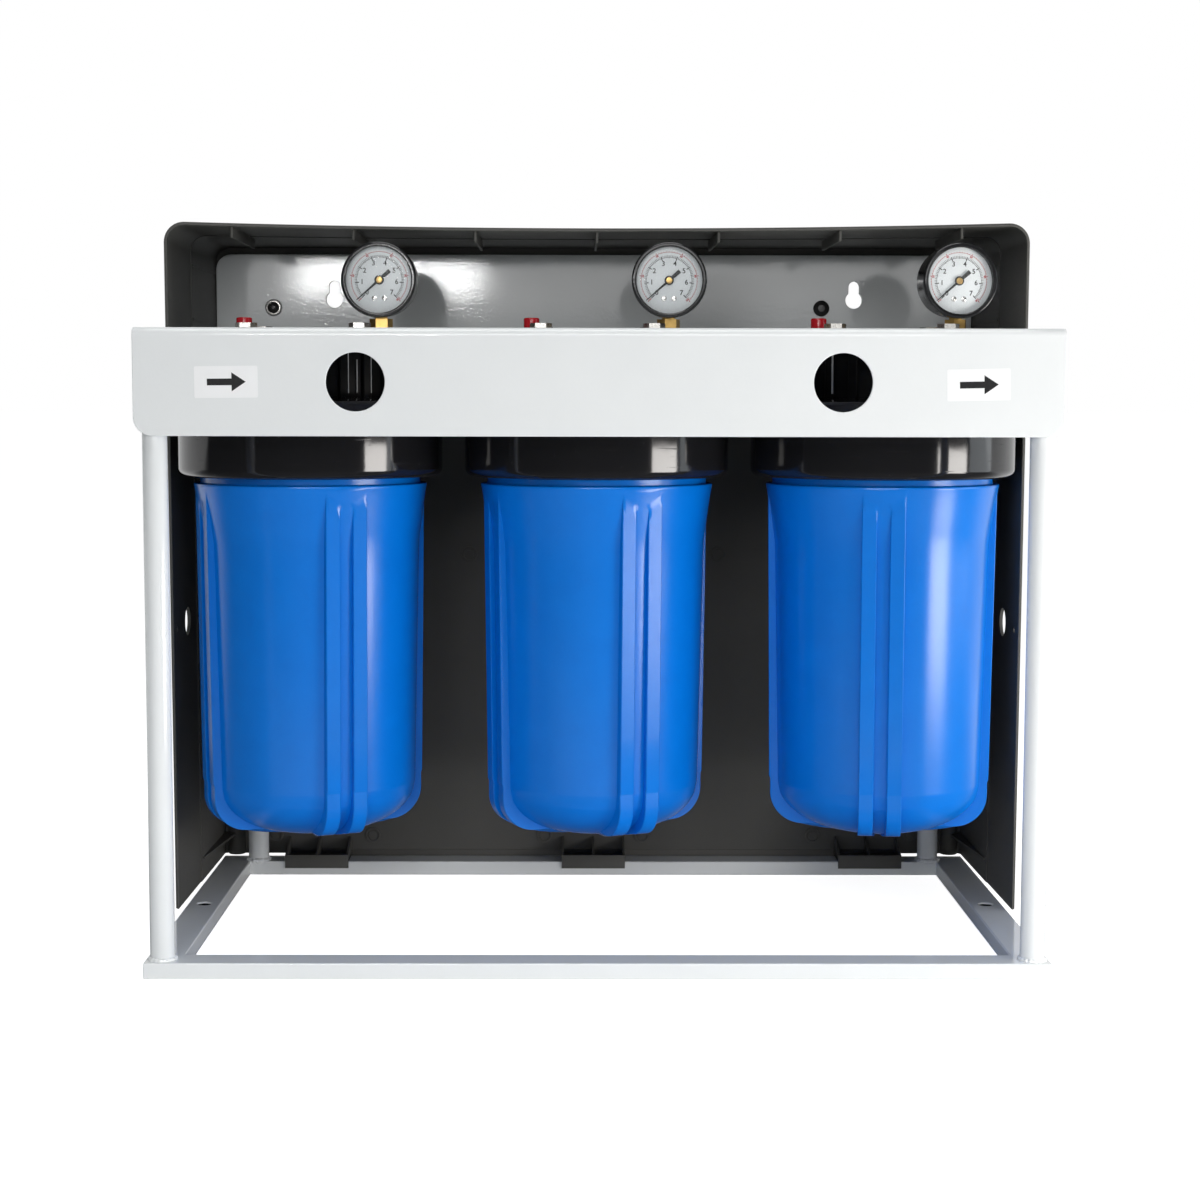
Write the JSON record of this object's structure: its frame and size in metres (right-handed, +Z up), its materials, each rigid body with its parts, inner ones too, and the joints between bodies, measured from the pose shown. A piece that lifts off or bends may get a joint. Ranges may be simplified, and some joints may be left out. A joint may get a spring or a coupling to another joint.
{
  "type": "whole house water filter",
  "caption": "Floor-standing water filter: blue screw-on housings hang from black heads under a white steel bracket, with pressure gauges, relief buttons and a grey rear cover.",
  "frame": {"origin": "centre of the footprint, on the floor under the base frame", "axes": "+X to the right as seen from the front, from inlet to outlet; +Y to the back; +Z up"},
  "size_m": [0.6006, 0.3434, 0.4955],
  "materials": {
    "white_powder_coat": "satin",
    "warm_grey_plastic": "satin",
    "plated_steel": "satin",
    "black_gloss_plastic": "gloss",
    "blue_plastic": "satin",
    "black_rubber": "matte",
    "white_filter_media": "matte",
    "red_button_plastic": "gloss",
    "brass": "satin",
    "black_gauge_enamel": "gloss",
    "clear_lens": "gloss",
    "white_dial": "satin",
    "black_pointer": "satin"
  },
  "bodies": {
    "stand": {"base_frame": "white_powder_coat", "cover_screw_left": "plated_steel", "cover_screw_right": "plated_steel", "cover_washer": "plated_steel", "gauge_bezel_1": "black_gauge_enamel", "gauge_bezel_2": "black_gauge_enamel", "gauge_bezel_3": "black_gauge_enamel", "gauge_case_1": "black_gauge_enamel", "gauge_case_2": "black_gauge_enamel", "gauge_case_3": "black_gauge_enamel", "gauge_dial_1": "white_dial", "gauge_dial_2": "white_dial", "gauge_dial_3": "white_dial", "gauge_lens_1": "clear_lens", "gauge_lens_2": "clear_lens", "gauge_lens_3": "clear_lens", "gauge_stem_1": "brass", "gauge_stem_2": "brass", "gauge_stem_3": "brass", "head_1": "black_gloss_plastic", "head_2": "black_gloss_plastic", "head_3": "black_gloss_plastic", "head_bolt_1_front_left": "plated_steel", "head_bolt_1_front_right": "plated_steel", "head_bolt_1_rear_left": "plated_steel", "head_bolt_1_rear_right": "plated_steel", "head_bolt_2_front_left": "plated_steel", "head_bolt_2_front_right": "plated_steel", "head_bolt_2_rear_left": "plated_steel", "head_bolt_2_rear_right": "plated_steel", "head_bolt_3_front_left": "plated_steel", "head_bolt_3_front_right": "plated_steel", "head_bolt_3_rear_left": "plated_steel", "head_bolt_3_rear_right": "plated_steel", "mounting_bracket": "white_powder_coat", "pipe_nipple_1_2": "plated_steel", "pipe_nipple_2_3": "plated_steel", "post_front_left": "white_powder_coat", "post_front_right": "white_powder_coat", "post_rear_left": "white_powder_coat", "post_rear_right": "white_powder_coat", "rear_cover": "warm_grey_plastic", "relief_collar_1": "plated_steel", "relief_collar_2": "plated_steel", "relief_collar_3": "plated_steel"},
    "sump_1": {"sump_1": "blue_plastic", "sump_seal_1": "black_rubber"},
    "cartridge_1": {"cartridge_1": "white_filter_media"},
    "relief_button_1": {"relief_button_1": "red_button_plastic"},
    "gauge_pointer_1": {"gauge_pointer_1": "black_pointer"},
    "sump_2": {"sump_2": "blue_plastic", "sump_seal_2": "black_rubber"},
    "cartridge_2": {"cartridge_2": "white_filter_media"},
    "relief_button_2": {"relief_button_2": "red_button_plastic"},
    "gauge_pointer_2": {"gauge_pointer_2": "black_pointer"},
    "sump_3": {"sump_3": "blue_plastic", "sump_seal_3": "black_rubber"},
    "cartridge_3": {"cartridge_3": "white_filter_media"},
    "relief_button_3": {"relief_button_3": "red_button_plastic"},
    "gauge_pointer_3": {"gauge_pointer_3": "black_pointer"}
  },
  "joints": [
    {"name": "cartridge_1_drop", "type": "slide", "parent": "stand", "child": "cartridge_1", "axis": [0, 0, -1], "range_m": [0, 0.024]},
    {"name": "sump_1_unscrew", "type": "hinge", "parent": "cartridge_1", "child": "sump_1", "pos_m": [-0.2, -0.02165, 0.3155], "axis": [0, 0, -1], "range_deg": [0, 1440]},
    {"name": "relief_button_1_press", "type": "slide", "parent": "stand", "child": "relief_button_1", "axis": [0, 0, -1], "range_m": [0, 0.003], "stiffness_N_per_m": 500},
    {"name": "gauge_pointer_1_turn", "type": "hinge", "parent": "stand", "child": "gauge_pointer_1", "pos_m": [-0.1502, -0.02165, 0.4555], "axis": [0.0523, 0.9986, 0], "range_deg": [0, 262], "stiffness_Nm_per_rad": 0.0005, "springref_deg": -11.46},
    {"name": "cartridge_2_drop", "type": "slide", "parent": "stand", "child": "cartridge_2", "axis": [0, 0, -1], "range_m": [0, 0.024]},
    {"name": "sump_2_unscrew", "type": "hinge", "parent": "cartridge_2", "child": "sump_2", "pos_m": [0, -0.02165, 0.3155], "axis": [0, 0, -1], "range_deg": [0, 1440]},
    {"name": "relief_button_2_press", "type": "slide", "parent": "stand", "child": "relief_button_2", "axis": [0, 0, -1], "range_m": [0, 0.003], "stiffness_N_per_m": 500},
    {"name": "gauge_pointer_2_turn", "type": "hinge", "parent": "stand", "child": "gauge_pointer_2", "pos_m": [0.0498, -0.02165, 0.4555], "axis": [0, 1, 0], "range_deg": [0, 262], "stiffness_Nm_per_rad": 0.0005, "springref_deg": -11.46},
    {"name": "cartridge_3_drop", "type": "slide", "parent": "stand", "child": "cartridge_3", "axis": [0, 0, -1], "range_m": [0, 0.024]},
    {"name": "sump_3_unscrew", "type": "hinge", "parent": "cartridge_3", "child": "sump_3", "pos_m": [0.2, -0.02165, 0.3155], "axis": [0, 0, -1], "range_deg": [0, 1440]},
    {"name": "relief_button_3_press", "type": "slide", "parent": "stand", "child": "relief_button_3", "axis": [0, 0, -1], "range_m": [0, 0.003], "stiffness_N_per_m": 500},
    {"name": "gauge_pointer_3_turn", "type": "hinge", "parent": "stand", "child": "gauge_pointer_3", "pos_m": [0.2498, -0.02165, 0.4555], "axis": [-0.0872, 0.9962, 0], "range_deg": [0, 262], "stiffness_Nm_per_rad": 0.0005, "springref_deg": -11.46}
  ],
  "couplings": [
    {"joint": "cartridge_1_drop", "follows": "sump_1_unscrew", "m_per_rad": 0.00095},
    {"joint": "cartridge_2_drop", "follows": "sump_2_unscrew", "m_per_rad": 0.00095},
    {"joint": "cartridge_3_drop", "follows": "sump_3_unscrew", "m_per_rad": 0.00095}
  ]
}
